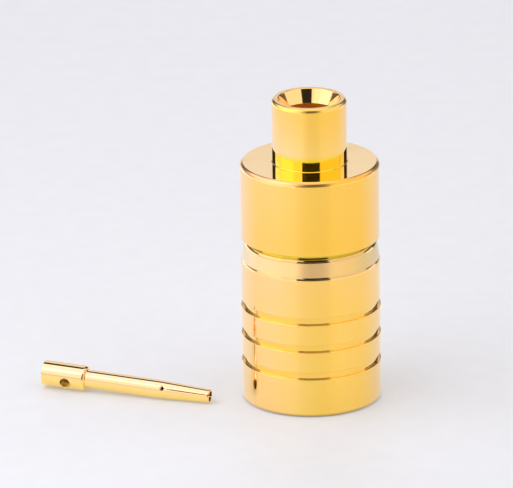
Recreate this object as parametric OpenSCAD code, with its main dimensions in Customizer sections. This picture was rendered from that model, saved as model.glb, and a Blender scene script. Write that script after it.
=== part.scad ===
// Straight push-on coaxial connector for thin semi-rigid cable, standing on its mating face,
// with its loose centre contact lying beside it. All sizes are in millimetres.
// The connector's axis is Z; the mating face is at z = 0 and the cable enters from above.

/* [Connector body] */
// Outside diameter of the barrel and of the front sleeve
body_d = 6.35; // [6:0.05:7.2]
// Height from the mating face to the rim of the cable tube
overall_l = 14.2; // [13.8:0.05:15.5]
// Height of the plain barrel
barrel_l = 3.55; // [3:0.01:4.2]
// Rounding of the barrel's upper edge
barrel_round = 0.25; // [0.1:0.01:0.32]
// Rounding of the barrel's lower edge
barrel_break = 0.04; // [0.02:0.01:0.08]

/* [Cable tube] */
// Outside diameter of the cable tube
tube_d = 3.42; // [3.36:0.02:3.8]
// Length of the cable tube above the shoulder
tube_l = 2.97; // [2.6:0.01:3.3]
// Rounding of the tube's outer rim
tube_round = 0.2; // [0.1:0.01:0.22]
// Diameter of the cable bore
cable_bore_d = 2.26; // [2.1:0.02:2.3]
// Depth of the cable bore from the rim down to its seat
cable_depth = 4.4; // [4.2:0.05:4.7]
// Diameter of the countersink at the rim
countersink_d = 2.84; // [2.6:0.02:2.9]
// Depth of the countersink
countersink_l = 0.62; // [0.4:0.02:0.8]

/* [Rolled rim] */
// Height of the recess between the rolled rim and the barrel above it
rim_gap = 0.18; // [0.12:0.01:0.22]
// Diameter of the collar inside the recess
collar_d = 5.7; // [5.6:0.02:5.8]
// Height of the rolled rim
rim_l = 0.82; // [0.7:0.01:0.95]
// How far the rim's inside is rolled inward at its top
rim_in = 0.1; // [0.05:0.01:0.15]
// Inward lean of the rim, in degrees
rim_lean = 7; // [4:0.5:10]
// Rounding of the rim toward its top
rim_round = 0.33; // [0.25:0.01:0.45]
// Slope of the rim's rounding where it meets the top, in degrees from the axis
rim_end = 40; // [34:1:50]
// Step at the crease where the rim begins
crease_step = 0.05; // [0.03:0.005:0.06]
// Rounding of the edge below the crease
crease_round = 0.34; // [0.24:0.01:0.4]

/* [Front sleeve] */
// Inside diameter of the sleeve round the spring contact
sleeve_bore_d = 5.1; // [4.9:0.05:5.2]
// Width of the step inside the sleeve on which the spigot stops
stop_step = 0.15; // [0.1:0.01:0.18]
// Height of the spigot's end above the mating face
spigot_z = 4.3; // [4:0.05:4.6]
// Height of the lowest groove's lower edge
groove_z = 1.81; // [1.5:0.01:2.1]
// Distance from one groove to the next
groove_pitch = 1.305; // [1.1:0.005:1.4]
// Width of each groove
groove_w = 0.33; // [0.24:0.01:0.38]
// Depth of each groove
groove_deep = 0.13; // [0.08:0.01:0.2]
// Number of grooves
groove_count = 3; // [1:1:3]
// Rounding of the mating face's outer edge
face_round = 0.14; // [0.06:0.01:0.2]
// Chamfer of the mating face's inner edge
face_chamfer = 0.12; // [0.05:0.01:0.15]

/* [Spring contact] */
// Inside diameter between the spring fingers
finger_bore_d = 3.66; // [3.6:0.02:3.72]
// Thickness of the fingers
finger_t = 0.3; // [0.24:0.01:0.32]
// Distance of the finger tips behind the mating face
finger_recess = 0.5; // [0.3:0.05:0.8]
// Height of the snap bead inside the finger tips
bead_high = 0.08; // [0.05:0.01:0.12]
// Length of each slope of the snap bead
bead_slope = 0.35; // [0.25:0.05:0.45]
// Width of the slots between the fingers
finger_slot_w = 0.3; // [0.2:0.02:0.4]
// Number of fingers
finger_count = 6; // [4:1:8]
// Length left unslotted above the fingers
finger_root_l = 0.4; // [0.3:0.05:0.6]
// Outside diameter of the base pressed into the rear body
basket_d = 4.4; // [4.36:0.02:4.5]
// Length of the base
basket_l = 2.9; // [2.7:0.05:2.95]
// Thickness of the shelf that holds the insulator
shelf_t = 0.5; // [0.4:0.05:0.6]

/* [Insulator] */
// Diameter of the insulator's rear part
insulator_d = 3; // [2.8:0.05:3.1]
// Diameter of the insulator's nose
nose_d = 2.06; // [1.9:0.02:2.1]
// Distance of the nose behind the mating face
nose_recess = 1.7; // [1.4:0.05:2]
// Room round the contact's shank
shank_clear = 0.02; // [0.01:0.005:0.04]
// Room round the contact's cup
cup_clear = 0.03; // [0.02:0.005:0.05]

/* [Centre contact] */
// Length of the loose contact
contact_l = 8; // [7.6:0.05:8.4]
// Diameter of the solder cup
cup_d = 1.17; // [1.1:0.01:1.3]
// Length of the solder cup
cup_l = 2.08; // [1.9:0.02:2.3]
// Rounding of the cup's open edge
cup_round = 0.06; // [0.03:0.01:0.08]
// Rounding of the cup's front edge
cup_front_round = 0.15; // [0.06:0.01:0.18]
// Diameter of the hole for the cable's wire
wire_hole_d = 0.64; // [0.6:0.01:0.7]
// Depth of the hole for the cable's wire
wire_hole_l = 1.6; // [1.5:0.05:1.7]
// Diameter of the inspection hole in the cup's side
peep_d = 0.5; // [0.4:0.02:0.56]
// Distance of the inspection hole from the cup's open end
peep_at = 1.17; // [0.95:0.01:1.25]
// Diameter of the shank
shank_d = 0.86; // [0.8:0.01:0.9]
// Length of the tapered end
tine_l = 2.5; // [2.2:0.05:2.8]
// Diameter at the tip
tip_d = 0.64; // [0.62:0.01:0.7]
// Rounding of the tip's edge
tip_round = 0.07; // [0.03:0.01:0.075]
// Diameter of the socket hole
socket_d = 0.46; // [0.42:0.01:0.48]
// Depth of the socket hole
socket_l = 2.6; // [2.4:0.05:2.9]
// Length of the slot across the socket end
slot_l = 2.33; // [2.1:0.01:2.38]
// Diameter of the hole at the slot's closed end
slot_hole_d = 0.2; // [0.14:0.01:0.24]
// Width of the slot where it leaves that hole
slot_w = 0.06; // [0.04:0.01:0.1]
// Width of the slot at the tip
slot_tip_w = 0.03; // [0.02:0.01:0.06]

/* [Where the loose contact lies] */
// Distance of its tip to the left of the connector's axis
contact_left = 4.63; // [4.5:0.05:8]
// Distance of its tip in front of the connector's axis
contact_front = 1.12; // [0:0.02:3]
// Turn of the contact, its tip toward the front
contact_yaw = 18.1; // [0:0.5:40]
// Direction of the slot above the level
slot_roll = 27; // [0:1:45]
// Direction of the inspection hole below the level
peep_roll = 19; // [0:1:45]

/* [Hidden] */
$fn = 96;
gold = [0.93, 0.72, 0.28];
white = [0.95, 0.95, 0.93];
// Overreach of cutting shapes
over = 0.05;
body_r = body_d / 2;
tube_r = tube_d / 2;
shoulder_z = overall_l - tube_l;
barrel_z = shoulder_z - barrel_l;
rim_top_z = barrel_z - rim_gap;
crease_z = rim_top_z - rim_l;
spigot_r = sleeve_bore_d / 2 + stop_step;
neck_r = spigot_r - rim_in;
// Sleeve's edge below the crease
crease_turn = acos(1 - crease_step / crease_round);
crease_drop = crease_round * sin(crease_turn);
// Rim's lean, then its rounding up to the rim's flat top
rim_foot_r = body_r - crease_step;
rim_bend_z = rim_top_z - rim_round * (sin(rim_end) - sin(rim_lean));
rim_bend_r = rim_foot_r - (rim_bend_z - crease_z) * tan(rim_lean);
rim_centre_r = rim_bend_r - rim_round * cos(rim_lean);
rim_centre_z = rim_bend_z - rim_round * sin(rim_lean);
rim_top_r = rim_centre_r + rim_round * cos(rim_end);
seat_z = overall_l - cable_depth;
finger_in_r = finger_bore_d / 2;
finger_out_r = finger_in_r + finger_t;
basket_r = basket_d / 2;
basket_top_z = spigot_z + basket_l;
shelf_top_z = spigot_z + shelf_t;
slot_top_z = spigot_z - finger_root_l;
insulator_r = insulator_d / 2;
nose_r = nose_d / 2;
cup_r = cup_d / 2;
shank_r = shank_d / 2;
tip_r = tip_d / 2;
cup_seat_l = cup_l + cup_clear;
taper_at = contact_l - tine_l;
slot_at = contact_l - slot_l + slot_hole_d / 2;
// The loose contact rests on its cup's rounded front edge and on the shank's end or the rounded tip,
// whichever is lower
rest_at = cup_l - cup_front_round;
rest_r = cup_r - cup_front_round;
run_shank = taper_at - rest_at;
run_tip = contact_l - tip_round - rest_at;
fall_shank = rest_r - shank_r;
fall_tip = rest_r - tip_r + tip_round;
tilt_shank = atan2(fall_shank, run_shank) + asin(cup_front_round / norm([fall_shank, run_shank]));
tilt_tip = atan2(fall_tip, run_tip) + asin((cup_front_round - tip_round) / norm([fall_tip, run_tip]));
contact_tilt = min(tilt_shank, tilt_tip);
contact_z = rest_r * cos(contact_tilt) + rest_at * sin(contact_tilt) + cup_front_round;

// Waste at an outer corner of a profile at [x, y]; the piece lies toward [sx, sy] from the corner
module corner_waste(x, y, r, sx, sy) {
    translate([x, y])
        mirror([sx < 0 ? 1 : 0, 0])
            mirror([0, sy < 0 ? 1 : 0])
                difference() {
                    translate([-over, -over])
                        square(r + over);
                    translate([r, r])
                        circle(r);
                }
}

// Ring between two radii and two heights, as a profile
module band(r0, r1, z0, z1) {
    translate([r0, z0])
        square([r1 - r0, z1 - z0]);
}

module rear_body() {
    color(gold)
        rotate_extrude()
            difference() {
                union() {
                    band(0, tube_r, shoulder_z - over, overall_l);
                    band(0, body_r, barrel_z, shoulder_z);
                    band(0, collar_d / 2, rim_top_z, barrel_z + over);
                    polygon([
                        [0, crease_z],
                        [spigot_r, crease_z],
                        [neck_r, rim_top_z],
                        [0, rim_top_z]
                    ]);
                    band(0, spigot_r, spigot_z, crease_z);
                }
                corner_waste(tube_r, overall_l, tube_round, -1, -1);
                corner_waste(body_r, shoulder_z, barrel_round, -1, -1);
                corner_waste(body_r, barrel_z, barrel_break, -1, 1);
                polygon([
                    [0, overall_l + over],
                    [countersink_d / 2, overall_l + over],
                    [countersink_d / 2, overall_l],
                    [cable_bore_d / 2, overall_l - countersink_l],
                    [0, overall_l - countersink_l]
                ]);
                band(0, cable_bore_d / 2, seat_z, overall_l);
                band(0, insulator_r, spigot_z, seat_z);
                band(0, basket_r, spigot_z - over, basket_top_z);
            }
}

module front_sleeve() {
    color(gold)
        rotate_extrude()
            difference() {
                union() {
                    band(0, body_r, 0, crease_z - crease_drop);
                    translate([body_r - crease_round, crease_z - crease_drop])
                        circle(crease_round);
                    polygon([
                        [0, crease_z - crease_drop],
                        [rim_foot_r - over, crease_z - crease_drop],
                        [rim_foot_r, crease_z],
                        [rim_bend_r, rim_bend_z],
                        [rim_top_r, rim_top_z],
                        [0, rim_top_z]
                    ]);
                    intersection() {
                        translate([rim_centre_r, rim_centre_z])
                            circle(rim_round);
                        band(rim_top_r - over, body_r, rim_bend_z, rim_top_z);
                    }
                }
                corner_waste(body_r, 0, face_round, -1, 1);
                for (i = [0 : groove_count - 1])
                    translate([body_r - groove_deep, groove_z + i * groove_pitch])
                        square([groove_deep + over, groove_w]);
                band(0, sleeve_bore_d / 2, -over, spigot_z);
                polygon([
                    [0, -over],
                    [sleeve_bore_d / 2 + face_chamfer + over, -over],
                    [sleeve_bore_d / 2, face_chamfer],
                    [0, face_chamfer]
                ]);
                band(0, spigot_r, spigot_z, crease_z);
                polygon([
                    [0, crease_z],
                    [spigot_r, crease_z],
                    [neck_r, rim_top_z],
                    [neck_r, rim_top_z + over],
                    [0, rim_top_z + over]
                ]);
            }
}

module spring_contact() {
    color(gold)
        difference() {
            rotate_extrude()
                polygon([
                    [nose_r, spigot_z],
                    [finger_in_r, spigot_z],
                    [finger_in_r, finger_recess + 2 * bead_slope],
                    [finger_in_r - bead_high, finger_recess + bead_slope],
                    [finger_in_r + bead_high, finger_recess],
                    [finger_out_r, finger_recess],
                    [finger_out_r, spigot_z],
                    [basket_r, spigot_z],
                    [basket_r, basket_top_z],
                    [insulator_r, basket_top_z],
                    [insulator_r, shelf_top_z],
                    [nose_r, shelf_top_z]
                ]);
            for (i = [0 : finger_count - 1])
                rotate([0, 0, i * 360 / finger_count])
                    translate([0, -finger_slot_w / 2, finger_recess - over])
                        cube([basket_r + over, finger_slot_w, slot_top_z - finger_recess + over]);
        }
}

module insulator() {
    color(white)
        rotate_extrude()
            difference() {
                union() {
                    band(0, insulator_r, shelf_top_z, seat_z);
                    band(0, nose_r, nose_recess, shelf_top_z);
                }
                band(0, shank_r + shank_clear, nose_recess - over, seat_z);
                band(0, cup_r + cup_clear, seat_z - cup_seat_l, seat_z + over);
            }
}

// The contact along its own axis, from the cup's open end at x = 0 to the tip
module contact_turned() {
    rotate([0, 90, 0])
        rotate_extrude()
            difference() {
                union() {
                    difference() {
                        band(0, cup_r, 0, cup_l);
                        corner_waste(cup_r, 0, cup_round, -1, 1);
                        corner_waste(cup_r, cup_l, cup_front_round, -1, -1);
                    }
                    polygon([
                        [0, cup_l - over],
                        [shank_r, cup_l - over],
                        [shank_r, taper_at],
                        [tip_r, contact_l - tip_round],
                        [tip_r, contact_l],
                        [0, contact_l]
                    ]);
                }
                corner_waste(tip_r, contact_l, tip_round, -1, -1);
                band(0, wire_hole_d / 2, -over, wire_hole_l);
                band(0, socket_d / 2, contact_l - socket_l, contact_l + over);
            }
}

// Slot across the socket end, pinched toward the tip, as a flat shape
module slot_shape() {
    translate([slot_at, 0])
        circle(d = slot_hole_d);
    polygon([
        [slot_at, -slot_w / 2],
        [contact_l, -slot_tip_w / 2],
        [contact_l + over, -slot_tip_w / 2],
        [contact_l + over, slot_tip_w / 2],
        [contact_l, slot_tip_w / 2],
        [slot_at, slot_w / 2]
    ]);
}

module centre_contact() {
    color(gold)
        translate([-contact_left, -contact_front, 0])
            rotate([0, 0, -contact_yaw])
                translate([-contact_l * cos(contact_tilt), 0, contact_z])
                    rotate([0, contact_tilt, 0])
                        difference() {
                            contact_turned();
                            rotate([90 - slot_roll, 0, 0])
                                linear_extrude(height = 2 * cup_r, center = true)
                                    slot_shape();
                            translate([peep_at, 0, 0])
                                rotate([90 + peep_roll, 0, 0])
                                    cylinder(d = peep_d, h = cup_d);
                        }
}

rear_body();
front_sleeve();
spring_contact();
insulator();
centre_contact();
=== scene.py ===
"""Looks of a gold-plated push-on coaxial cable connector and its loose centre contact.

The connector stands on its mating face, as in the photograph, and the contact lies to its left.
"""

import math

import bpy
import numpy as np
from mathutils import Matrix, Vector


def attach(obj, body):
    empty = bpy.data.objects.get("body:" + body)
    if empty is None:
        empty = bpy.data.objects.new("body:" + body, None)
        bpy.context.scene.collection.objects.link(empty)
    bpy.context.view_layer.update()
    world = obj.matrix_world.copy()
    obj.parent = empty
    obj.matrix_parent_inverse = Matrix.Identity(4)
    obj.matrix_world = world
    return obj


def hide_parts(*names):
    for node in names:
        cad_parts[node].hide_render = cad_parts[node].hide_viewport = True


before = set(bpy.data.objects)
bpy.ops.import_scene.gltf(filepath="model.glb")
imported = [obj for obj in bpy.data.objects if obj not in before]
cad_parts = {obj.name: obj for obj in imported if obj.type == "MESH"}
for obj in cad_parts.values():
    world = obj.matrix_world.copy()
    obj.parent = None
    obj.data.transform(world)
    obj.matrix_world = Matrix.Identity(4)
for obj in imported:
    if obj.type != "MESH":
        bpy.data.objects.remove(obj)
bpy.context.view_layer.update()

MM = 0.001

# Fineness of the meshes
SEGMENTS = 288
STEP = 2 * math.pi / SEGMENTS
ARC_STEP_DEG = 5.0
ARC_STEPS_LEAST = 3
FINGER_COLUMNS = 36
PATCH_RINGS = 7
LIP_RINGS = 7
SLOT_HOLE_STEPS = 15
SLIT_STEPS = 16
TIP_STEPS = 10

# Lengths and angles that count as none, and points that count as one
TINY = 1e-6
SAME = 1e-9

# Sizes of the solids, in millimetres
BODY_R = 3.175
OVERALL = 14.2
SHOULDER_Z = 11.23
BARREL_Z = 7.68
BARREL_ROUND = 0.29
BARREL_FOOT_ROUND = 0.04
COLLAR_R = 2.85
RIM_TOP_Z = 7.5
CREASE_Z = 6.68
CREASE_STEP = 0.05
CREASE_ROUND = 0.34
RIM_LEAN = math.radians(7)
RIM_END = math.radians(40)
RIM_ROUND = 0.33
BEND_Z = RIM_TOP_Z - RIM_ROUND * (math.sin(RIM_END) - math.sin(RIM_LEAN))
SPIGOT_Z = 4.3
SPIGOT_R = 2.7
NECK_R = 2.6
TUBE_R = 1.71
TUBE_ROUND = 0.23
TUBE_FOOT_FILLET = 0.035
BORE_R = 1.13
SINK_R = 1.42
SINK_L = 0.62
SINK_ROUND = 0.06
SEAT_Z = 9.8
SLEEVE_BORE_R = 2.55
LEAD_IN = 0.12
FACE_ROUND = 0.14
GROOVE_Z = (1.81, 3.115, 4.42)
GROOVE_W = 0.33
GROOVE_DEEP = 0.13
FINGER_IN_R = 1.83
FINGER_OUT_R = 2.13
FINGER_TIP_Z = 0.5
FINGER_FLARE = 0.08
BEAD_AT = 0.35
BEAD_END = 0.7
BEAD_IN = 0.08
BEAD_ROUND = 0.08
BEAD_BLEND = 0.15
FINGER_SLOT_TOP_Z = 3.9
FINGER_SLOT_W = 0.3
FINGERS = 6
BASKET_R = 2.2
BASKET_TOP_Z = 7.2
SHELF_TOP_Z = 4.8
NOSE_R = 1.03
NOSE_Z = 1.7
NOSE_ROUND = 0.06
INSULATOR_R = 1.5
SHANK_BORE_R = 0.45
CUP_BORE_R = 0.615
CUP_BORE_Z = 7.69
CONTACT_L = 8.0
CUP_R = 0.585
CUP_L = 2.08
CUP_OPEN_Z = 0.0005
CUP_ROUND = 0.06
CUP_FRONT_ROUND = 0.15
WIRE_R = 0.32
WIRE_L = 1.6
WIRE_POINT = 0.12
PEEP_R = 0.25
PEEP_AT = 1.17
PEEP_LIP = 0.02
# Window of the cup's wall that is meshed anew round the inspection hole: steps each way, ends, rows
WINDOW = 50
WINDOW_LOW = 0.81
WINDOW_HIGH = 1.53
WINDOW_ROWS = 20
SHANK_R = 0.43
TAPER_AT = 5.5
TAPER_BLEND = 1.0
TIP_R = 0.32
TIP_ROUND = 0.07
SOCKET_R = 0.23
SOCKET_AT = 5.4
SOCKET_POINT = 0.08
SOCKET_LIP = 0.02
SLOT_HOLE_R = 0.1
SLOT_AT = 5.77
SLOT_W = 0.06
SLOT_TIP_W = 0.03
CONTACT_TIP = (-4.63, -1.12)
CONTACT_YAW = math.radians(-18.1)
SLOT_ROLL = math.radians(27)
PEEP_ROLL = math.radians(-19)
# Turn of a broken edge, from the side to where it meets the flat
EDGE_TURN = math.radians(60)
# Fillets of corners that the solids leave sharp
FILLET_FINEST = 0.01
FILLET_FINE = 0.015
FILLET = 0.02
FILLET_WIDE = 0.03
FILLET_WIDER = 0.04
FILLET_WIDEST = 0.05


def unit(v):
    return v / np.linalg.norm(v)


def rounded(corners, closed=True):
    """Stations (point, normal before, normal after) of a profile.

    Its corners are (r, z, rounding), and its outside is on the right of its travel.
    """
    points = [np.array(c[:2], float) for c in corners]
    stations = []
    count = len(points)
    for i, p in enumerate(points):
        first = i == 0 and not closed
        last = i == count - 1 and not closed
        d_in = None if first else unit(p - points[i - 1])
        d_out = None if last else unit(points[(i + 1) % count] - p)
        d_in = d_out if first else d_in
        d_out = d_in if last else d_out
        n_in = np.array([d_in[1], -d_in[0]])
        n_out = np.array([d_out[1], -d_out[0]])
        turn = math.atan2(d_in[0] * d_out[1] - d_in[1] * d_out[0], float(d_in @ d_out))
        radius = corners[i][2]
        if radius <= 0 or abs(turn) < TINY:
            stations.append((p, n_in, n_out))
            continue
        side = math.copysign(1, turn)
        centre = p - d_in * radius * math.tan(abs(turn) / 2) - n_in * radius * side
        steps = max(ARC_STEPS_LEAST, math.ceil(math.degrees(abs(turn)) / ARC_STEP_DEG))
        for k in range(steps + 1):
            a = turn * k / steps
            c, s = math.cos(a), math.sin(a)
            n = np.array([n_in[0] * c - n_in[1] * s, n_in[0] * s + n_in[1] * c])
            stations.append((centre + n * radius * side, n, n))
    return stations


def broken_edge(r, z, rounding):
    """Corners of a turned edge whose rounding meets the flat above it at a slight angle."""
    drop = rounding * math.tan(EDGE_TURN / 2) * math.cos(EDGE_TURN)
    inset = rounding * (1 - math.cos(EDGE_TURN))
    return [(r, z - drop, rounding), (r - inset, z, 0.0)]


class Shell:
    """Collects faces with exact normals, in millimetres, and turns them into one mesh object."""

    def __init__(self):
        self.points = []
        self.faces = []
        self.normals = []

    def grid(self, points, before, after, wrap_u=False, wrap_v=False, skip=None):
        """Quads between rows of points, which have normals toward the row before and toward the row after."""
        rows, cols = points.shape[:2]
        base = len(self.points)
        self.points.extend(points.reshape(-1, 3))
        for j in range(rows if wrap_v else rows - 1):
            j1 = (j + 1) % rows
            for i in range(cols if wrap_u else cols - 1):
                if skip and skip(j, i):
                    continue
                i1 = (i + 1) % cols
                row, next_row = base + j * cols, base + j1 * cols
                self.faces.append([row + i, row + i1, next_row + i1, next_row + i])
                self.normals.append([after[j, i], after[j, i1], before[j1, i1], before[j1, i]])

    def lathe(self, stations, closed=True, angles=None, whole=True, skip=None):
        """Turns a profile about Z, all round or through the given angles."""
        if angles is None:
            angles = np.arange(SEGMENTS) * STEP
        c, s = np.cos(angles), np.sin(angles)

        def spin(pairs):
            rz = np.array(pairs)
            return np.stack([rz[:, :1] * c, rz[:, :1] * s, np.repeat(rz[:, 1:], len(angles), 1)], 2)

        self.grid(
            spin([p for p, _, _ in stations]),
            spin([n for _, n, _ in stations]),
            spin([n for _, _, n in stations]),
            wrap_u=whole,
            wrap_v=closed,
            skip=skip,
        )

    def cap(self, points, normal):
        """One flat face."""
        base = len(self.points)
        self.points.extend(points)
        self.faces.append(list(range(base, base + len(points))))
        self.normals.append([normal] * len(points))

    def build(self, name, matrix=None):
        """One mesh object, placed by a matrix; edges of no length are left out."""
        points = np.array(self.points, float)
        keep = []
        for face, normal in zip(self.faces, self.normals):
            slim = [
                k for k, v in enumerate(face) if np.linalg.norm(points[v] - points[face[k - 1]]) > SAME
            ]
            if len(slim) > 2:
                keep.append(([face[k] for k in slim], [normal[k] for k in slim]))
        normals = np.array([n for _, ns in keep for n in ns], float)
        if matrix is not None:
            turn = np.array(matrix.to_3x3())
            points = points @ turn.T + np.array(matrix.translation)
            normals = normals @ turn.T
        mesh = bpy.data.meshes.new(name)
        mesh.from_pydata((points * MM).tolist(), [], [f for f, _ in keep])
        mesh.polygons.foreach_set("use_smooth", [True] * len(mesh.polygons))
        mesh.normals_split_custom_set((normals / np.linalg.norm(normals, axis=1)[:, None]).tolist())
        mesh.update()
        piece = bpy.data.objects.new(name, mesh)
        bpy.context.scene.collection.objects.link(piece)
        return piece


def dress(piece, node, material):
    """Gives a piece its material and lets it stand for a CAD node."""
    piece.data.materials.append(material)
    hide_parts(node)
    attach(piece, "root")


# Materials

UPRIGHT = Matrix.Identity(4)
GOLD_LIGHT = (1.0, 0.66, 0.31)
GOLD_DEEP = (0.985, 0.635, 0.27)
# Painted shade: darker copies of the plating's gold for the band, the ledge, the countersink and the tube's
# top edge, set face by face to the light each one reflects
GOLD_BAND_SHADE = (0.94, 0.61, 0.25)
GOLD_LEDGE_SHADE = (0.97, 0.605, 0.18)
GOLD_CONE_SHADE = (1.0, 0.61, 0.24)
GOLD_EDGE_SHADE = (0.97, 0.58, 0.13)
# Painted shade: a deeper copy of the gold inside the bore
GOLD_BORE_SHADE = (0.98, 0.5, 0.06)
# Painted shade: a deeper copy of the gold inside the grooves
GOLD_GROOVE_SHADE = (0.97, 0.61, 0.12)
# Painted shade: a dark copy of the gold in the crease and on the rim's top under the barrel
GOLD_CREASE_SHADE = (0.7, 0.45, 0.17)
# Painted shade: a dark copy of the gold in the recess below the barrel
GOLD_RECESS_SHADE = (0.7, 0.56, 0.055)
# Painted sheen: the pale tone that the gold turns toward at a slant
GOLD_SHEEN_PAINT = (1.0, 0.86, 0.68)
CONTACT_LIGHT = (1.0, 0.74, 0.45)
CONTACT_DEEP = (0.99, 0.72, 0.408)
# Painted light: a brighter, more orange copy of the contact's gold inside its cup's bore and inspection hole
CONTACT_BORE_LIT = (1.0, 0.8, 0.38)
SPRING_LIGHT = (0.98, 0.62, 0.16)
SPRING_DEEP = (0.93, 0.57, 0.13)
PTFE_DULL = (0.86, 0.86, 0.83)
PTFE_BRIGHT = (0.92, 0.92, 0.9)
# Painted sheen: share of the pale tone at a full slant, and the slant at which it begins
PALE_MOST = 0.6
PALE_FROM = 0.35
# Scales of the noises, and depths of the turning marks in metres
TONE_SCALE = 260.0
HAZE_SCALE = 900.0
MARK_SCALE = 9000.0
MARK_DEEP = 0.000002
PTFE_TONE_SCALE = 1500.0
PTFE_MARK_SCALE = 12000.0
PTFE_MARK_DEEP = 0.000004


def node_tree(name):
    material = bpy.data.materials.new(name)
    material.use_nodes = True
    tree = material.node_tree
    tree.nodes.clear()
    out = tree.nodes.new("ShaderNodeOutputMaterial")
    shader = tree.nodes.new("ShaderNodeBsdfPrincipled")
    tree.links.new(shader.outputs["BSDF"], out.inputs["Surface"])
    return material, tree, shader


def noise(tree, vector, scale, detail=2.0):
    n = tree.nodes.new("ShaderNodeTexNoise")
    n.inputs["Scale"].default_value = scale
    n.inputs["Detail"].default_value = detail
    tree.links.new(vector, n.inputs["Vector"])
    return n.outputs["Fac"]


def spread(tree, value, low, high, start=0.3, end=0.7):
    """A value mapped from start..end to low..high."""
    m = tree.nodes.new("ShaderNodeMapRange")
    m.inputs["From Min"].default_value = start
    m.inputs["From Max"].default_value = end
    m.inputs["To Min"].default_value = low
    m.inputs["To Max"].default_value = high
    tree.links.new(value, m.inputs["Value"])
    return m.outputs["Result"]


def blend_colour(tree, value, first, second, start=0.35, end=0.65):
    """A colour that goes from first to second between two values."""
    ramp = tree.nodes.new("ShaderNodeValToRGB")
    ramp.color_ramp.elements[0].position = start
    ramp.color_ramp.elements[0].color = (*first, 1)
    ramp.color_ramp.elements[1].position = end
    ramp.color_ramp.elements[1].color = (*second, 1)
    tree.links.new(value, ramp.inputs["Fac"])
    return ramp.outputs["Color"]


def arithmetic(tree, operation, first, second):
    m = tree.nodes.new("ShaderNodeMath")
    m.operation = operation
    tree.links.new(first, m.inputs[0])
    tree.links.new(second, m.inputs[1])
    return m.outputs["Value"]


def below(tree, value, limit):
    """1 where a length is below a limit in millimetres, otherwise 0."""
    m = tree.nodes.new("ShaderNodeMath")
    m.operation = "LESS_THAN"
    tree.links.new(value, m.inputs[0])
    m.inputs[1].default_value = limit * MM
    return m.outputs["Value"]


def between(tree, value, low, high):
    """1 where a length lies between two limits in millimetres, otherwise 0."""
    return arithmetic(tree, "SUBTRACT", below(tree, value, high), below(tree, value, low))


def turning_coordinates(tree, axis):
    """What the looks of a turned piece follow.

    These are the coordinates in its own frame, ones that change only along its profile, its radius, its
    height, and how far a side faces along its own X.
    """
    coord = tree.nodes.new("ShaderNodeTexCoord")
    own = tree.nodes.new("ShaderNodeMapping")
    own.vector_type = "TEXTURE"
    own.inputs["Location"].default_value = axis.translation * MM
    own.inputs["Rotation"].default_value = axis.to_euler()
    tree.links.new(coord.outputs["Object"], own.inputs["Vector"])
    split = tree.nodes.new("ShaderNodeSeparateXYZ")
    tree.links.new(own.outputs["Vector"], split.inputs["Vector"])
    flat = tree.nodes.new("ShaderNodeCombineXYZ")
    tree.links.new(split.outputs["X"], flat.inputs["X"])
    tree.links.new(split.outputs["Y"], flat.inputs["Y"])
    length = tree.nodes.new("ShaderNodeVectorMath")
    length.operation = "LENGTH"
    tree.links.new(flat.outputs["Vector"], length.inputs[0])
    join = tree.nodes.new("ShaderNodeCombineXYZ")
    tree.links.new(length.outputs["Value"], join.inputs["X"])
    tree.links.new(split.outputs["Z"], join.inputs["Y"])
    side = arithmetic(tree, "DIVIDE", split.outputs["X"], length.outputs["Value"])
    return (
        own.outputs["Vector"],
        join.outputs["Vector"],
        length.outputs["Value"],
        split.outputs["Z"],
        side,
    )


def turning_marks(tree, shader, along, scale, detail, strength, deep):
    """Fine lines round the axis."""
    bump = tree.nodes.new("ShaderNodeBump")
    bump.inputs["Strength"].default_value = strength
    bump.inputs["Distance"].default_value = deep
    tree.links.new(noise(tree, along, scale, detail), bump.inputs["Height"])
    tree.links.new(bump.outputs["Normal"], shader.inputs["Normal"])


def colour_along(tree, value, stops, scale=1.0):
    """A colour that changes with a value, given as (value, colour)."""
    low, high = stops[0][0], stops[-1][0]
    ramp = tree.nodes.new("ShaderNodeValToRGB")
    row = ramp.color_ramp.elements
    for i, (at, colour) in enumerate(stops):
        place = (at - low) / (high - low)
        stop = row[0] if i == 0 else row[-1] if i == len(stops) - 1 else row.new(place)
        stop.color = (*colour, 1)
    tree.links.new(spread(tree, value, 0.0, 1.0, low * scale, high * scale), ramp.inputs["Fac"])
    return ramp.outputs["Color"]


# Used to paint light and shade into the plating's colour
def fade(tree, colour, value, stops, scale=1.0):
    """A colour weakened by factors that change with a value, given as (value, factors)."""
    mix = tree.nodes.new("ShaderNodeMix")
    mix.data_type = "RGBA"
    mix.blend_type = "MULTIPLY"
    mix.inputs["Factor"].default_value = 1.0
    tree.links.new(colour, mix.inputs["A"])
    tree.links.new(colour_along(tree, value, stops, scale), mix.inputs["B"])
    return mix.outputs["Result"]


# Painted light and shade: the plating's colour weakened from the left to the right side of the body, paler on
# the left where the strongest light falls
SIDE_LIGHT_STOPS = [
    (-1.0, (1.0, 1.0, 0.9)),
    (-0.6, (1.0, 1.0, 1.0)),
    (-0.28, (1.0, 1.0, 0.77)),
    (0.0, (1.0, 1.0, 0.57)),
    (0.25, (1.0, 0.985, 0.53)),
    (0.5, (1.0, 0.99, 0.61)),
    (0.78, (1.0, 0.985, 0.63)),
    (1.0, (1.0, 0.96, 0.6)),
]
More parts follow.
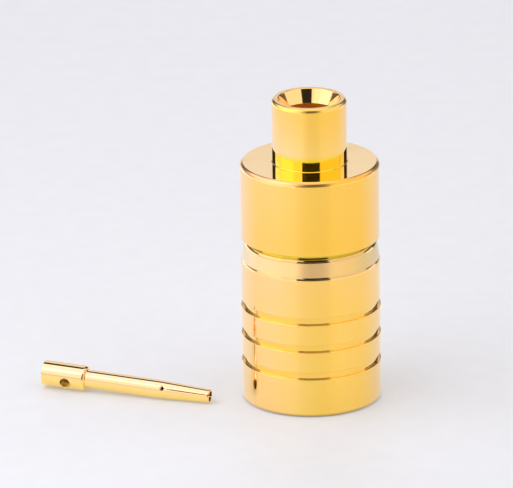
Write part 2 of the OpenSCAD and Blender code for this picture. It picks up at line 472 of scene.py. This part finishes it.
# Painted light and shade: colours of the barrel's upper edge and of the rolled rim from their left to their
# right side, paler on the left and deeper on the right
EDGE_SHADE_STOPS = [
    (-1.0, (0.97, 0.54, 0.22)),
    (-0.71, (0.97, 0.465, 0.22)),
    (-0.38, (0.97, 0.53, 0.2)),
    (0.0, (0.97, 0.55, 0.13)),
    (0.42, (0.97, 0.505, 0.075)),
    (0.74, (0.95, 0.465, 0.1)),
    (1.0, (0.95, 0.54, 0.12)),
]
RIM_SHADE_STOPS = [
    (-1.0, (0.84, 0.66, 0.38)),
    (-0.81, (0.88, 0.64, 0.325)),
    (-0.54, (0.91, 0.605, 0.275)),
    (-0.25, (0.94, 0.61, 0.25)),
    (0.25, (0.93, 0.6, 0.24)),
    (0.48, (0.88, 0.555, 0.19)),
    (0.81, (0.73, 0.525, 0.21)),
    (1.0, (0.62, 0.47, 0.18)),
]
# Painted highlight and shade: factors that weaken the plating's colour from the top to the underside of the
# contact, with a pale highlight strip near its top
CONTACT_HIGHLIGHT_STOPS = [
    (-1.0, (1.0, 0.92, 0.74)),
    (-0.86, (1.0, 0.96, 0.9)),
    (-0.82, (1.0, 0.97, 1.0)),
    (-0.75, (1.0, 0.96, 1.0)),
    (-0.66, (1.0, 0.79, 0.64)),
    (-0.5, (1.0, 0.76, 0.64)),
    (-0.25, (1.0, 0.84, 0.64)),
    (0.0, (1.0, 0.98, 0.604)),
    (0.4, (1.0, 1.0, 0.483)),
    (1.0, (1.0, 1.0, 0.462)),
]


def gold(
    name, light, deep, rough_low, rough_high, marks, axis=UPRIGHT, zones=(), height_stops=(), side_stops=()
):
    """Bright gold plating over a turned surface, paler at a slant, with soft tone changes and turning marks.

    A zone lies between two radii and two heights, is at least as rough as it says, and has a tint of its own,
    or a list of stops for a tint that changes from its left to its right side. The paling at a slant is a
    painted sheen, and the zone tints and the height and side stops paint light and shade into the plating's
    colour.
    """
    material, tree, shader = node_tree(name)
    where, along, radius, height, side = turning_coordinates(tree, axis)
    shader.inputs["Metallic"].default_value = 1.0
    tone = noise(tree, where, TONE_SCALE)
    # Painted sheen: the colour pales as the surface turns away from the view
    slant = tree.nodes.new("ShaderNodeLayerWeight")
    pale = tree.nodes.new("ShaderNodeMix")
    pale.data_type = "RGBA"
    painted_sheen = spread(tree, slant.outputs["Facing"], 0.0, PALE_MOST, PALE_FROM, 1.0)
    tree.links.new(painted_sheen, pale.inputs["Factor"])
    plating = blend_colour(tree, tone, light, deep)
    # From here the plating's colour also carries painted light and shade
    if height_stops:
        plating = fade(tree, plating, height, height_stops, MM)
    if side_stops:
        plating = fade(tree, plating, side, side_stops)
    haze = noise(tree, where, HAZE_SCALE, 4.0)
    rough = spread(tree, haze, rough_low, rough_high)
    for inner, outer, low, high, dull, tint in zones:
        ring = between(tree, radius, inner, outer)
        level = between(tree, height, low, high)
        inside = arithmetic(tree, "MULTIPLY", ring, level)
        rough = arithmetic(tree, "MAXIMUM", rough, spread(tree, inside, 0.0, dull, 0.0, 1.0))
        patch = tree.nodes.new("ShaderNodeMix")
        patch.data_type = "RGBA"
        tree.links.new(inside, patch.inputs["Factor"])
        tree.links.new(plating, patch.inputs["A"])
        if isinstance(tint, list):
            tree.links.new(colour_along(tree, side, tint), patch.inputs["B"])
        else:
            patch.inputs["B"].default_value = (*tint, 1)
        plating = patch.outputs["Result"]
    tree.links.new(plating, pale.inputs["A"])
    pale.inputs["B"].default_value = (*GOLD_SHEEN_PAINT, 1)
    tree.links.new(pale.outputs["Result"], shader.inputs["Base Color"])
    tree.links.new(rough, shader.inputs["Roughness"])
    turning_marks(tree, shader, along, MARK_SCALE, 3.0, marks, MARK_DEEP)
    return material


def ptfe(name):
    """Waxy white PTFE with faint machining marks."""
    material, tree, shader = node_tree(name)
    where, along, *_ = turning_coordinates(tree, UPRIGHT)
    tone = noise(tree, where, PTFE_TONE_SCALE, 3.0)
    white = blend_colour(tree, tone, PTFE_DULL, PTFE_BRIGHT)
    tree.links.new(white, shader.inputs["Base Color"])
    tree.links.new(spread(tree, tone, 0.38, 0.52), shader.inputs["Roughness"])
    shader.inputs["Subsurface Weight"].default_value = 0.3
    shader.inputs["Subsurface Scale"].default_value = 0.0004
    turning_marks(tree, shader, along, PTFE_MARK_SCALE, 2.0, 0.25, PTFE_MARK_DEEP)
    return material


# Pieces


def make_rear_body():
    shell = Shell()
    shell.lathe(
        rounded(
            [
                (BASKET_R, SPIGOT_Z, FILLET_WIDE),
                (SPIGOT_R, SPIGOT_Z, FILLET_WIDE),
                (SPIGOT_R, CREASE_Z, 0.0),
                (NECK_R, RIM_TOP_Z, 0.0),
                (COLLAR_R, RIM_TOP_Z, 0.0),
                (COLLAR_R, BARREL_Z, FILLET_FINE),
                (BODY_R, BARREL_Z, BARREL_FOOT_ROUND),
                *broken_edge(BODY_R, SHOULDER_Z, BARREL_ROUND),
                (TUBE_R, SHOULDER_Z, TUBE_FOOT_FILLET),
                *broken_edge(TUBE_R, OVERALL, TUBE_ROUND),
                (SINK_R, OVERALL, SINK_ROUND),
                (BORE_R, OVERALL - SINK_L, FILLET_WIDER),
                (BORE_R, SEAT_Z, 0.0),
                (INSULATOR_R, SEAT_Z, 0.0),
                (INSULATOR_R, BASKET_TOP_Z, FILLET),
                (BASKET_R, BASKET_TOP_Z, 0.0),
            ]
        )
    )
    return shell.build("rear_body_turned")


def make_front_sleeve():
    outside = []
    for z in GROOVE_Z:
        outside += [
            (BODY_R, z, FILLET_WIDE),
            (BODY_R - GROOVE_DEEP, z, FILLET_FINE),
            (BODY_R - GROOVE_DEEP, z + GROOVE_W, FILLET_FINE),
            (BODY_R, z + GROOVE_W, FILLET_WIDE),
        ]
    turn = math.acos(1 - CREASE_STEP / CREASE_ROUND)
    crease_corner = CREASE_Z - CREASE_ROUND * (math.sin(turn) - math.tan(turn / 2))
    foot = BODY_R - CREASE_STEP
    bend_r = foot - (BEND_Z - CREASE_Z) * math.tan(RIM_LEAN)
    reach = RIM_ROUND * math.tan((RIM_END - RIM_LEAN) / 2)
    bend_corner = (
        bend_r - reach * math.sin(RIM_LEAN),
        BEND_Z + reach * math.cos(RIM_LEAN),
        RIM_ROUND,
    )
    rim_top_r = bend_r - RIM_ROUND * (math.cos(RIM_LEAN) - math.cos(RIM_END))
    shell = Shell()
    shell.lathe(
        rounded(
            [
                (SLEEVE_BORE_R, LEAD_IN, FILLET),
                (SLEEVE_BORE_R + LEAD_IN, 0.0, FILLET),
                (BODY_R, 0.0, FACE_ROUND),
                *outside,
                (BODY_R, crease_corner, CREASE_ROUND),
                (foot, CREASE_Z, 0.0),
                bend_corner,
                (rim_top_r, RIM_TOP_Z, 0.0),
                (NECK_R, RIM_TOP_Z, FILLET_FINEST),
                (SPIGOT_R, CREASE_Z, 0.0),
                (SPIGOT_R, SPIGOT_Z, 0.0),
                (SLEEVE_BORE_R, SPIGOT_Z, FILLET),
            ]
        )
    )
    return shell.build("front_sleeve_turned")


def make_spring_contact():
    shell = Shell()
    shell.lathe(
        rounded(
            [
                (NOSE_R, SPIGOT_Z, FILLET),
                (FINGER_IN_R, SPIGOT_Z, FILLET),
                (FINGER_IN_R, FINGER_SLOT_TOP_Z, 0.0),
                (FINGER_OUT_R, FINGER_SLOT_TOP_Z, 0.0),
                (FINGER_OUT_R, SPIGOT_Z, FILLET_FINEST),
                (BASKET_R, SPIGOT_Z, FILLET_FINEST),
                (BASKET_R, BASKET_TOP_Z, FILLET_WIDE),
                (INSULATOR_R, BASKET_TOP_Z, FILLET),
                (INSULATOR_R, SHELF_TOP_Z, 0.0),
                (NOSE_R, SHELF_TOP_Z, FILLET),
            ]
        )
    )
    finger = rounded(
        [
            (FINGER_IN_R, FINGER_SLOT_TOP_Z, 0.0),
            (FINGER_IN_R, FINGER_TIP_Z + BEAD_END, BEAD_BLEND),
            (FINGER_IN_R - BEAD_IN, FINGER_TIP_Z + BEAD_AT, BEAD_ROUND),
            (FINGER_IN_R + FINGER_FLARE, FINGER_TIP_Z, FILLET_WIDER),
            (FINGER_OUT_R, FINGER_TIP_Z, FILLET_WIDEST),
            (FINGER_OUT_R, FINGER_SLOT_TOP_Z, 0.0),
        ]
    )
    half_slot = math.asin(FINGER_SLOT_W / 2 / FINGER_OUT_R)
    pitch = 2 * math.pi / FINGERS
    for i in range(FINGERS):
        angles = np.linspace(i * pitch + half_slot, (i + 1) * pitch - half_slot, FINGER_COLUMNS)
        shell.lathe(finger, angles=angles, whole=False)
        for a, side in ((angles[0], -1), (angles[-1], 1)):
            edge = [(p[0] * math.cos(a), p[0] * math.sin(a), p[1]) for p, _, _ in finger]
            out = (-side * math.sin(a), side * math.cos(a), 0)
            shell.cap(edge if side < 0 else edge[::-1], out)
    return shell.build("spring_contact_slotted")


def make_insulator():
    shell = Shell()
    shell.lathe(
        rounded(
            [
                (SHANK_BORE_R, NOSE_Z, FILLET_WIDE),
                (NOSE_R, NOSE_Z, NOSE_ROUND),
                (NOSE_R, SHELF_TOP_Z, 0.0),
                (INSULATOR_R, SHELF_TOP_Z, FILLET_WIDE),
                (INSULATOR_R, SEAT_Z, FILLET_WIDER),
                (CUP_BORE_R, SEAT_Z, FILLET_WIDEST),
                (CUP_BORE_R, CUP_BORE_Z, 0.0),
                (SHANK_BORE_R, CUP_BORE_Z, FILLET_WIDE),
            ]
        )
    )
    return shell.build("insulator_turned")


def contact_matrix():
    """Places the contact's own axis, +Z from the cup to the tip, on the floor."""
    rest_at = CUP_L - CUP_FRONT_ROUND
    rest_r = CUP_R - CUP_FRONT_ROUND
    run, fall = TAPER_AT - rest_at, rest_r - SHANK_R
    on_shank = math.atan2(fall, run) + math.asin(CUP_FRONT_ROUND / math.hypot(fall, run))
    run, fall = CONTACT_L - TIP_ROUND - rest_at, rest_r - TIP_R + TIP_ROUND
    on_tip = math.atan2(fall, run)
    on_tip += math.asin((CUP_FRONT_ROUND - TIP_ROUND) / math.hypot(fall, run))
    tilt = min(on_shank, on_tip)
    height = rest_r * math.cos(tilt) + rest_at * math.sin(tilt) + CUP_FRONT_ROUND
    lie = Matrix.Rotation(math.pi / 2, 4, "Y")
    back = Matrix.Translation((-CONTACT_L * math.cos(tilt), 0, height))
    place = Matrix.Translation((*CONTACT_TIP, 0)) @ Matrix.Rotation(CONTACT_YAW, 4, "Z")
    return place @ back @ Matrix.Rotation(tilt, 4, "Y") @ lie


def side_angle(roll):
    """Angle about the contact's own axis of a direction toward the viewer, raised by roll."""
    return math.atan2(-math.cos(roll), -math.sin(roll))


def taper_r(v):
    """Radius of the contact's tapered end at a distance along it."""
    return SHANK_R + (TIP_R - SHANK_R) * (v - TAPER_AT) / (CONTACT_L - TIP_ROUND - TAPER_AT)


def make_centre_contact():
    shell = Shell()
    angles = side_angle(PEEP_ROLL) + window_shift() + (np.arange(SEGMENTS) - WINDOW) * STEP
    cup = np.linspace(WINDOW_LOW, WINDOW_HIGH, WINDOW_ROWS + 1)
    slot_start = SLOT_AT - SLOT_HOLE_R

    def wall(r, n, values):
        return [(np.array([r, v]), np.array([n, 0.0]), np.array([n, 0.0])) for v in values]

    turned = [
        *rounded(
            [
                (0.0, WIRE_L + WIRE_POINT, 0.0),
                (WIRE_R, WIRE_L, 0.0),
                (WIRE_R, WINDOW_HIGH, 0.0),
            ],
            closed=False,
        )[:-1],
        *wall(WIRE_R, -1.0, cup[::-1]),
        *rounded(
            [
                (WIRE_R, WINDOW_LOW, 0.0),
                (WIRE_R, CUP_OPEN_Z, FILLET_WIDE),
                (CUP_R, CUP_OPEN_Z, CUP_ROUND),
                (CUP_R, WINDOW_LOW, 0.0),
            ],
            closed=False,
        )[1:-1],
        *wall(CUP_R, 1.0, cup),
        *rounded(
            [
                (CUP_R, WINDOW_HIGH, 0.0),
                (CUP_R, CUP_L, CUP_FRONT_ROUND),
                (SHANK_R, CUP_L, 0.0),
                (SHANK_R, TAPER_AT, TAPER_BLEND),
                (taper_r(slot_start), slot_start, 0.0),
            ],
            closed=False,
        )[1:],
    ]

    def in_window(j, i):
        if i >= 2 * WINDOW:
            return False
        p, q = turned[j][0], turned[j + 1][0]
        low, high = sorted((p[1], q[1]))
        level = abs(p[0] - q[0]) < TINY and min(abs(p[0] - CUP_R), abs(p[0] - WIRE_R)) < TINY
        return level and low > WINDOW_LOW - TINY and high < WINDOW_HIGH + TINY

    shell.lathe(turned, closed=False, angles=angles, skip=in_window)
    shell.grid(*peep_patch(CUP_R, 1.0))
    shell.grid(*peep_patch(WIRE_R, -1.0))
    shell.grid(*peep_wall(), wrap_u=True)
    socket = [
        (SOCKET_R, slot_start, 0.0),
        (SOCKET_R, SOCKET_AT, 0.0),
        (0.0, SOCKET_AT - SOCKET_POINT, 0.0),
    ]
    shell.lathe(rounded(socket, closed=False), closed=False, angles=angles)
    for half in (0, 1):
        add_tine(shell, side_angle(SLOT_ROLL) + half * math.pi)
    return shell.build("centre_contact_turned", contact_matrix())


def window_shift():
    """Turn of the window that puts the slot's middle on one of the lathe's steps."""
    offset = side_angle(SLOT_ROLL) - side_angle(PEEP_ROLL)
    return offset - round(offset / STEP) * STEP


def window_border():
    """Turns and heights round the window, and directions from the hole's middle to those points.

    The directions are those on the outer wall, so that both walls meet the hole at the same points.
    """
    v = np.linspace(WINDOW_LOW, WINDOW_HIGH, WINDOW_ROWS + 1)
    u = (np.arange(2 * WINDOW + 1) - WINDOW) * STEP + window_shift()
    side, level = np.ones(WINDOW_ROWS), np.ones(2 * WINDOW)
    turn = np.concatenate([u[:-1], side * u[-1], u[:0:-1], side * u[0]])
    height = np.concatenate([level * WINDOW_LOW, v[:-1], level * WINDOW_HIGH, v[:0:-1]])
    toward = np.stack([CUP_R * np.sin(turn), height - PEEP_AT], 1)
    return turn, height, toward / np.linalg.norm(toward, axis=1)[:, None]


def peep_patch(r, sign):
    """Wall of radius r between the window's border and the inspection hole."""
    turn, height, toward = window_border()
    border = np.stack([r * np.sin(turn), height - PEEP_AT], 1)
    lip = PEEP_R + (PEEP_LIP if sign > 0 else 0)
    inner = toward * lip
    rings = []
    for k in np.linspace(0, 1, PATCH_RINGS):
        flat = border * (1 - k) + inner * k
        a = side_angle(PEEP_ROLL) + np.arcsin(np.clip(flat[:, 0] / r, -1, 1))
        rings.append(np.stack([r * np.cos(a), r * np.sin(a), flat[:, 1] + PEEP_AT], 1))
    points = np.array(rings if sign > 0 else rings[::-1])
    points = np.concatenate([points, points[:, :1]], 1)
    normals = points * np.array([1, 1, 0]) * sign
    return points, normals, normals


def peep_wall():
    """The inspection hole's rounded lip and its wall down to the wire hole."""
    mid = side_angle(PEEP_ROLL)
    across = np.array([-math.sin(mid), math.cos(mid), 0])
    out = np.array([math.cos(mid), math.sin(mid), 0])
    along = np.array([0, 0, 1.0])
    x, y = window_border()[2].T
    inward = -x[:, None] * across - y[:, None] * along
    rings, normals = [], []

    def ring(radius, wall_r, drop):
        t = radius * x
        depth = np.sqrt(wall_r**2 - t**2) - drop
        level = radius * y + PEEP_AT
        return t[:, None] * across + depth[:, None] * out + level[:, None] * along

    for a in np.linspace(0, math.pi / 2, LIP_RINGS):
        radius = PEEP_R + PEEP_LIP * (1 - math.sin(a))
        rings.append(ring(radius, CUP_R, PEEP_LIP * (1 - math.cos(a))))
        normals.append(inward * math.sin(a) + out * math.cos(a))
    rings.append(ring(PEEP_R, WIRE_R, 0))
    normals.append(inward)
    return np.array(rings), np.array(normals), np.array(normals)


def slot_half(v):
    """Half the slot's width at a distance along the contact.

    The slot is a round hole, then a slit pinched toward the tip.
    """
    hole = math.sqrt(max(0.0, SLOT_HOLE_R**2 - (v - SLOT_AT) ** 2 - TINY**2))
    if v <= SLOT_AT:
        return hole
    slit = SLOT_W + (SLOT_TIP_W - SLOT_W) * (v - SLOT_AT) / (CONTACT_L - SLOT_AT)
    return max(hole, slit / 2)


def add_tine(shell, mid):
    """One of the two springs of the socket end.

    It begins at mid, the direction of the slot's side, and reaches half way round.
    """
    hole_end = math.pi - math.asin(SLOT_W / 2 / SLOT_HOLE_R)
    hole = [SLOT_AT - SLOT_HOLE_R * math.cos(a) for a in np.linspace(0, hole_end, SLOT_HOLE_STEPS)]
    slit = list(np.linspace(hole[-1], CONTACT_L - TIP_ROUND, SLIT_STEPS))
    length = hole + slit[1:]
    slope = math.atan2(SHANK_R - TIP_R, CONTACT_L - TIP_ROUND - TAPER_AT)
    path = [(taper_r(v), v, math.cos(slope), math.sin(slope)) for v in length]
    for a in np.linspace(slope, math.pi / 2, TIP_STEPS):
        r = TIP_R - TIP_ROUND * (1 - math.cos(a))
        path.append((r, CONTACT_L - TIP_ROUND * (1 - math.sin(a)), math.cos(a), math.sin(a)))
    path.append((SOCKET_R, CONTACT_L - SOCKET_LIP, -1.0, 0.0))
    path += [(SOCKET_R, v, -1.0, 0.0) for v in reversed(length)]
    cols = SEGMENTS // 2 + 1
    points, normals = [], []
    for r, v, nr, nv in path:
        start = math.asin(min(1.0, slot_half(v) / r))
        a = np.linspace(start, math.pi - start, cols) + mid
        points.append(np.stack([r * np.cos(a), r * np.sin(a), np.full(cols, v)], 1))
        normals.append(np.stack([nr * np.cos(a), nr * np.sin(a), np.full(cols, nv)], 1))
    points, normals = np.array(points), np.array(normals)
    shell.grid(points, normals, normals)
    # The slot's flanks between the spring's outer and inner edges, and the flanks of its rounded tip
    across = np.array([-math.sin(mid), math.cos(mid), 0])
    along = np.array([0, 0, 1.0])
    outer = points[: len(length)]
    inner = points[-1 : -len(length) - 1 : -1]
    round_flank = [(along * (SLOT_AT - v) - across * slot_half(v)) / SLOT_HOLE_R for v in hole]
    spans = (
        (slice(0, len(hole)), round_flank),
        (slice(len(hole) - 1, len(length)), [-across] * len(slit)),
    )
    for col in (0, -1):
        for span, flank in spans:
            edges = [inner[span, col], outer[span, col]]
            rows = np.array(edges if col == 0 else edges[::-1])[:, ::-1]
            n = np.array([flank, flank])[:, ::-1]
            shell.grid(rows, n, n)
    tip = points[len(length) - 1 : len(path) - len(length) + 1]
    shell.cap(tip[:, 0], -across)
    shell.cap(tip[::-1, -1], -across)


# Zones of the plating, whose tints are painted light and shade: inner and outer radius, low and high end,
# least roughness, tint or stops of it
CORE = -1.0
CLEAR = 0.1
SKIN = 0.004
BARREL_EDGE_W = 0.15
body_zones = [
    # Painted shade in the bore, countersink, tube's top edge, ledge and recess, and painted light and shade
    # along the barrel's upper edge
    (CORE, BORE_R + 0.01, SEAT_Z - 1.0, OVERALL - SINK_L, 0.45, GOLD_BORE_SHADE),
    (BORE_R - CLEAR, SINK_R + 0.02, OVERALL - SINK_L, OVERALL + CLEAR, 0.08, GOLD_CONE_SHADE),
    (SINK_R + 0.05, TUBE_R + 0.02, OVERALL - 0.18, OVERALL + CLEAR, 0.28, GOLD_EDGE_SHADE),
    (TUBE_R + 0.03, BODY_R - BARREL_EDGE_W, SHOULDER_Z - 0.05, SHOULDER_Z + 0.05, 0.08, GOLD_LEDGE_SHADE),
    (BODY_R - BARREL_EDGE_W, BODY_R + CLEAR, SHOULDER_Z - 0.2, SHOULDER_Z + CLEAR, 0.28, EDGE_SHADE_STOPS),
    (NECK_R, BODY_R + CLEAR, CREASE_Z, BARREL_Z + 0.045, 0.12, GOLD_RECESS_SHADE),
]
sleeve_zones = [
    # Painted shade in the grooves, on the band, in the crease and under the barrel, and painted light and
    # shade along the rolled rim
    (CORE, BODY_R - 0.02, 1.0, CREASE_Z - 0.5, 0.12, GOLD_GROOVE_SHADE),
    (CORE, BODY_R - SKIN, CREASE_Z - 0.2, CREASE_Z, 0.1, GOLD_BAND_SHADE),
    (CORE, BODY_R - SKIN, CREASE_Z - 0.09, CREASE_Z + 0.005, 0.1, GOLD_CREASE_SHADE),
    (CORE, BODY_R - SKIN, CREASE_Z + 0.005, BEND_Z + 0.02, 0.27, RIM_SHADE_STOPS),
    (CORE, BODY_R - SKIN, BEND_Z + 0.02, OVERALL, 0.1, GOLD_CREASE_SHADE),
]
# Painted light inside the contact's bore
contact_zones = [(CORE, CUP_R - 0.02, 0.1, CUP_L - 0.2, 0.35, CONTACT_BORE_LIT)]

# Painted light and shade with height, in millimetres: factors that weaken the plating's colour, such as the
# deep yellow reflection painted round the tube's foot
body_light_stops = [
    (7.6, (1.0, 0.91, 0.5)),
    (11.2, (1.0, 0.94, 0.66)),
    (11.26, (0.975, 1.0, 0.2)),
    (11.75, (0.975, 1.0, 0.2)),
    (11.95, (1.0, 1.0, 1.0)),
    (12.7, (1.0, 0.975, 0.85)),
    (14.1, (1.0, 0.925, 0.55)),
]
# Painted shade: the sleeve darkens sharply toward its foot, for the contact shadow that its lowest edge
# reflects
sleeve_shade_stops = [
    (0.0, (0.3, 0.33, 0.5)),
    (0.17, (0.965, 0.985, 0.8)),
    (3.5, (1.0, 0.98, 0.78)),
    (5.2, (1.0, 0.97, 0.8)),
    (6.6, (1.0, 0.97, 0.95)),
]

body_gold = gold(
    "gold_body",
    GOLD_LIGHT,
    GOLD_DEEP,
    rough_low=0.05,
    rough_high=0.1,
    marks=0.12,
    zones=body_zones,
    height_stops=body_light_stops,
    side_stops=SIDE_LIGHT_STOPS,
)
sleeve_gold = gold(
    "gold_sleeve",
    GOLD_LIGHT,
    GOLD_DEEP,
    rough_low=0.05,
    rough_high=0.1,
    marks=0.12,
    zones=sleeve_zones,
    height_stops=sleeve_shade_stops,
    side_stops=SIDE_LIGHT_STOPS,
)
spring_gold = gold("gold_spring", SPRING_LIGHT, SPRING_DEEP, rough_low=0.14, rough_high=0.24, marks=0.3)
contact_gold = gold(
    "gold_contact",
    CONTACT_LIGHT,
    CONTACT_DEEP,
    rough_low=0.06,
    rough_high=0.12,
    marks=0.12,
    axis=contact_matrix(),
    zones=contact_zones,
    side_stops=CONTACT_HIGHLIGHT_STOPS,
)
white_ptfe = ptfe("white_insulator")

dress(make_rear_body(), "rear_body", body_gold)
dress(make_front_sleeve(), "front_sleeve", sleeve_gold)
dress(make_spring_contact(), "spring_contact", spring_gold)
dress(make_insulator(), "insulator", white_ptfe)
dress(make_centre_contact(), "centre_contact", contact_gold)

# Stage: a floor, and a light tent of panels with dark gaps, whose reflections draw the metal's dark marks


def direction(azimuth):
    """Level unit vector; azimuth 0 points at the viewer and 90 to the right."""
    a = math.radians(azimuth)
    return Vector((math.sin(a), -math.cos(a), 0))


FLOOR_HALF = 1.2
FLOOR_DULL = (0.635, 0.63, 0.645)
FLOOR_BRIGHT = (0.65, 0.645, 0.66)
FLOOR_GLOW = (0.98, 0.97, 1.0)
GRAIN_SCALE = 900.0
# Strength of the floor's glow for the camera, and for all other rays
GLOW_SEEN = 0.2
GLOW_REFLECTED = 0.31

floor_mesh = bpy.data.meshes.new("floor")
floor_mesh.from_pydata(
    [
        (-FLOOR_HALF, -FLOOR_HALF, 0),
        (FLOOR_HALF, -FLOOR_HALF, 0),
        (FLOOR_HALF, FLOOR_HALF, 0),
        (-FLOOR_HALF, FLOOR_HALF, 0),
    ],
    [],
    [(0, 1, 2, 3)],
)
floor = bpy.data.objects.new("floor", floor_mesh)
bpy.context.scene.collection.objects.link(floor)
floor_paint, tree, shader = node_tree("floor_paint")
coord = tree.nodes.new("ShaderNodeTexCoord")
grain = noise(tree, coord.outputs["Object"], GRAIN_SCALE, 3.0)
paint = blend_colour(tree, grain, FLOOR_DULL, FLOOR_BRIGHT)
tree.links.new(paint, shader.inputs["Base Color"])
shader.inputs["Roughness"].default_value = 0.45
shader.inputs["Specular IOR Level"].default_value = 0.2
shader.inputs["Emission Color"].default_value = (*FLOOR_GLOW, 1)
ray = tree.nodes.new("ShaderNodeLightPath")
glow = spread(tree, ray.outputs["Is Camera Ray"], GLOW_REFLECTED, GLOW_SEEN, 0.0, 1.0)
tree.links.new(glow, shader.inputs["Emission Strength"])
floor.data.materials.append(floor_paint)


def lamp(name, location, facing, width, height, radiance, colour):
    """A soft panel of even brightness, seen only in reflections."""
    light = bpy.data.lights.new(name, "AREA")
    light.shape = "RECTANGLE"
    light.size = width * MM
    light.size_y = height * MM
    light.energy = radiance * math.pi * width * height * MM * MM
    light.color = colour
    piece = bpy.data.objects.new(name, light)
    bpy.context.scene.collection.objects.link(piece)
    piece.location = location * MM
    piece.rotation_euler = facing.to_track_quat("Z", "Y").to_euler()
    piece.visible_camera = False
    return piece


def wall_panel(name, facing, distance, start, end, low, high, radiance, colour):
    """An upright panel between two azimuths and two heights.

    It lies in the plane that faces the object from an azimuth, at a distance from it.
    """
    d = direction(facing)
    side = direction(facing + 90)
    first = distance * math.tan(math.radians(start - facing))
    last = distance * math.tan(math.radians(end - facing))
    middle = d * distance + side * ((first + last) / 2) + Vector((0, 0, (low + high) / 2))
    lamp(name, middle, d, last - first, high - low, radiance, colour)


COOL = (0.96, 0.97, 1.02)
WARM = (1.0, 0.98, 0.94)
# Walls of the tent: azimuth that they face the object from, and distance
LEFT = (-68, 47)
REAR_LEFT = (-112, 68)
BACK = (180, 85)
REAR_RIGHT = (114, 74)
RIGHT = (80, 70)
# Panels: name, wall, first and last azimuth, low and high end, radiance, colour
PANELS = [
    ("panel_left_slit", LEFT, -23, -13, 42, 71, 1.3, COOL),
    ("panel_left_front", LEFT, -50, -23, 12, 71, 1.5, COOL),
    ("panel_left_foot", LEFT, -98, -23, 0, 12, 0.95, COOL),
    ("panel_left", LEFT, -98, -50, 12, 71, 1.85, COOL),
    ("panel_left_rear_low", REAR_LEFT, -150, -99, 0, 16, 1.6, COOL),
    ("panel_left_rear_middle", REAR_LEFT, -150, -99, 16, 33, 0.13, COOL),
    ("panel_left_rear_high", REAR_LEFT, -127, -99, 33, 80, 1.85, COOL),
    ("panel_right_foot", RIGHT, 31, 103, 0, 12, 0.9, WARM),
    ("panel_right", RIGHT, 31, 103, 12, 85, 1.18, WARM),
    ("panel_slit_low", (9, 50), -13, 31, 19.5, 22.5, 0.6, COOL),
    ("panel_right_rear_low", REAR_RIGHT, 104, 128, 0, 17, 1.3, WARM),
    ("panel_right_rear_middle", REAR_RIGHT, 104, 156, 17, 35, 0.13, WARM),
    ("panel_right_rear_high", REAR_RIGHT, 104, 128, 35, 85, 1.35, WARM),
    ("panel_back_low", BACK, 158, 202, 0, 27, 0.92, COOL),
    ("panel_back_middle", BACK, 158, 202, 27, 38, 0.4, COOL),
    ("panel_back_high", BACK, 158, 202, 38, 104, 0.97, COOL),
    ("card_left", (-20, 50), -28, -13, 0, 8, 0.6, COOL),
    ("card_front", (0, 55), -13, 14, 0, 8, 0.2, COOL),
    ("card_right", (25, 50), 14, 38, 0, 8, 0.2, WARM),
]
for name, wall, *extent in PANELS:
    wall_panel(name, *wall, *extent)
UP = Vector((0, 0, 1))
lamp("panel_top", Vector((0, -27.5, 130)), UP, 200, 147, 1.32, COOL)
fill = lamp("fill_back", Vector((0, 62, 70)), UP, 120, 50, 0.81, COOL)
fill.visible_glossy = False

WORLD_COLOUR = (0.9, 0.9, 0.95)
WORLD_STRENGTH = 0.03
world = bpy.data.worlds.new("studio")
bpy.context.scene.world = world
world.use_nodes = True
background = world.node_tree.nodes["Background"]
background.inputs["Color"].default_value = (*WORLD_COLOUR, 1)
background.inputs["Strength"].default_value = WORLD_STRENGTH

# Camera: the photograph's, fitted to the edges of the connector

IMAGE_W = 513
FOCAL_PX = 7716.7
CAMERA_AT = Vector((-2.4455, -329.943, 124.0318)) * MM
ELEVATION = math.radians(19.491)
ROLL = math.radians(0.742)

camera_data = bpy.data.cameras.new("camera")
camera_data.sensor_fit = "HORIZONTAL"
camera_data.sensor_width = 36.0
camera_data.lens = FOCAL_PX * camera_data.sensor_width / IMAGE_W
camera_data.clip_start = 0.01
camera_data.clip_end = 10
camera = bpy.data.objects.new("camera", camera_data)
bpy.context.scene.collection.objects.link(camera)
ahead = Vector((0, math.cos(ELEVATION), -math.sin(ELEVATION)))
right = Vector((1, 0, 0))
above = right.cross(ahead)
turned_right = right * math.cos(ROLL) - above * math.sin(ROLL)
turned_above = right * math.sin(ROLL) + above * math.cos(ROLL)
camera.matrix_world = Matrix(
    (
        (turned_right.x, turned_above.x, -ahead.x, CAMERA_AT.x),
        (turned_right.y, turned_above.y, -ahead.y, CAMERA_AT.y),
        (turned_right.z, turned_above.z, -ahead.z, CAMERA_AT.z),
        (0, 0, 0, 1),
    )
)
bpy.context.scene.camera = camera
bpy.context.scene.view_settings.view_transform = "Standard"
